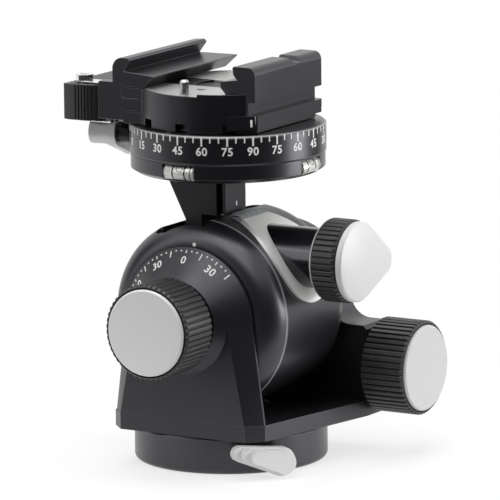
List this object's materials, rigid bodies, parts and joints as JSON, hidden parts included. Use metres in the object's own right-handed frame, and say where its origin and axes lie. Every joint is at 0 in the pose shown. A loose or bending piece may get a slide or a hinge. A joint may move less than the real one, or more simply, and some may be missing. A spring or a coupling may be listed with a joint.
{
  "type": "geared tripod head",
  "caption": "Compact geared tripod head: a black drum rolls in a U frame, a neck tilts in it by worm drive, and a quick-release clamp pans on a numbered ring.",
  "frame": {"origin": "pan axis of the foot, at the plane the foot stands on", "axes": "Y = roll axis, from the front knob to the rear housing; X = tilt axis towards the lock knob; Z = pan axis, up"},
  "size_m": [0.1013, 0.0942, 0.1259],
  "materials": {
    "black_anodised": "black anodised, fine satin blast",
    "knob_black": "black anodised, turned and knurled",
    "bright_alloy": "bare turned alloy, fine circular brushing",
    "bare_alloy": "bare satin alloy",
    "steel": "plain ground steel",
    "dark_steel": "blackened steel",
    "chromed_steel": "polished chrome plate",
    "gear_bronze": "machined bronze",
    "level_glass": "clear tube with pale liquid"
  },
  "bodies": {
    "foot": {"foot": "black_anodised", "pan_post": "steel"},
    "base_lever": {"base_lever": "bright_alloy", "base_lever_screw": "dark_steel"},
    "frame": {"base_plate": "black_anodised", "front_upright": "black_anodised", "gear_housing": "black_anodised", "housing_cover": "black_anodised", "cover_screws": "dark_steel", "frame_screws": "dark_steel", "roll_bush": "dark_steel"},
    "drum": {"drum": "black_anodised", "tilt_collar": "bare_alloy", "tilt_tube": "black_anodised", "tilt_bush": "dark_steel", "roll_wheel": "gear_bronze"},
    "roll_drive": {"roll_worm": "steel", "roll_shaft": "steel", "roll_knob": "knob_black", "roll_cap": "bright_alloy"},
    "tilt_drive": {"tilt_worm": "steel", "tilt_shaft": "steel", "tilt_knob": "knob_black", "tilt_cap": "bright_alloy"},
    "lock_knob": {"lock_knob": "knob_black", "lock_ring": "bright_alloy"},
    "lock_lever": {"lock_lever": "bright_alloy"},
    "neck": {"neck": "black_anodised", "tilt_sector": "gear_bronze", "tilt_pin": "steel", "level_ring": "black_anodised", "vial_front": "level_glass", "vial_side": "level_glass", "scale_ring": "black_anodised", "spindle": "steel", "ring_screws": "steel"},
    "pan_lever": {"pan_lever": "bright_alloy", "pan_lever_screw": "dark_steel"},
    "clamp": {"clamp_body": "black_anodised", "fixed_jaw": "black_anodised", "floor_plates": "bare_alloy", "draw_bar": "steel", "flip_yoke": "chromed_steel", "flip_screw": "chromed_steel", "pin_spring": "steel", "spindle_cap": "black_anodised"},
    "moving_jaw": {"moving_jaw": "black_anodised"},
    "flip_lever": {"flip_lever": "knob_black"},
    "safety_pin": {"safety_pin": "steel"}
  },
  "joints": [
    {"name": "pan_base", "type": "hinge", "parent": "foot", "child": "frame", "pos_m": [0, 0, 0.0114], "axis": [0, 0, 1], "continuous": true},
    {"name": "base_lock", "type": "hinge", "parent": "foot", "child": "base_lever", "pos_m": [0.02852, -0.01924, 0.0049], "axis": [0.829, -0.5592, 0], "range_deg": [0, 22]},
    {"name": "roll", "type": "hinge", "parent": "frame", "child": "drum", "pos_m": [0, 0, 0.0471], "axis": [0, 1, 0], "range_deg": [-60, 27]},
    {"name": "roll_turn", "type": "hinge", "parent": "frame", "child": "roll_drive", "pos_m": [0, 0.0296, 0.0273], "axis": [1, 0, 0], "range_deg": [-2280, 1026]},
    {"name": "tilt", "type": "hinge", "parent": "drum", "child": "neck", "pos_m": [0, 0, 0.065], "axis": [1, 0, 0], "range_deg": [-30, 30]},
    {"name": "tilt_turn", "type": "hinge", "parent": "drum", "child": "tilt_drive", "pos_m": [0, 0, 0.0471], "axis": [0, 1, 0], "range_deg": [-960, 960]},
    {"name": "tilt_lock_turn", "type": "hinge", "parent": "drum", "child": "lock_knob", "pos_m": [0.0366, 0, 0.065], "axis": [1, 0, 0], "range_deg": [0, 90]},
    {"name": "tilt_lock_swing", "type": "hinge", "parent": "drum", "child": "lock_lever", "pos_m": [0.0452, 0, 0.065], "axis": [1, 0, 0], "range_deg": [0, 60]},
    {"name": "pan_clamp", "type": "hinge", "parent": "neck", "child": "clamp", "pos_m": [0, 0, 0.1056], "axis": [0, 0, 1], "continuous": true},
    {"name": "pan_lock", "type": "hinge", "parent": "neck", "child": "pan_lever", "pos_m": [-0.03545, -0.00625, 0.1001], "axis": [-0.9848, -0.1736, 0], "range_deg": [0, 60]},
    {"name": "flip", "type": "hinge", "parent": "clamp", "child": "flip_lever", "pos_m": [-0.0435, -0.0135, 0.1056], "axis": [0, 0, 1], "range_deg": [0, 90]},
    {"name": "jaw_slide", "type": "slide", "parent": "clamp", "child": "moving_jaw", "axis": [1, 0, 0], "range_m": [-0.0025, 0]},
    {"name": "pin_press", "type": "slide", "parent": "clamp", "child": "safety_pin", "axis": [0, 0, 1], "range_m": [-0.004, 0], "stiffness_N_per_m": 500, "deforming": ["pin_spring"]}
  ],
  "couplings": [
    {"joint": "roll_turn", "follows": "roll", "ratio": 38},
    {"joint": "tilt_turn", "follows": "tilt", "ratio": -32},
    {"joint": "jaw_slide", "follows": "flip", "m_per_rad": -0.0015915}
  ]
}
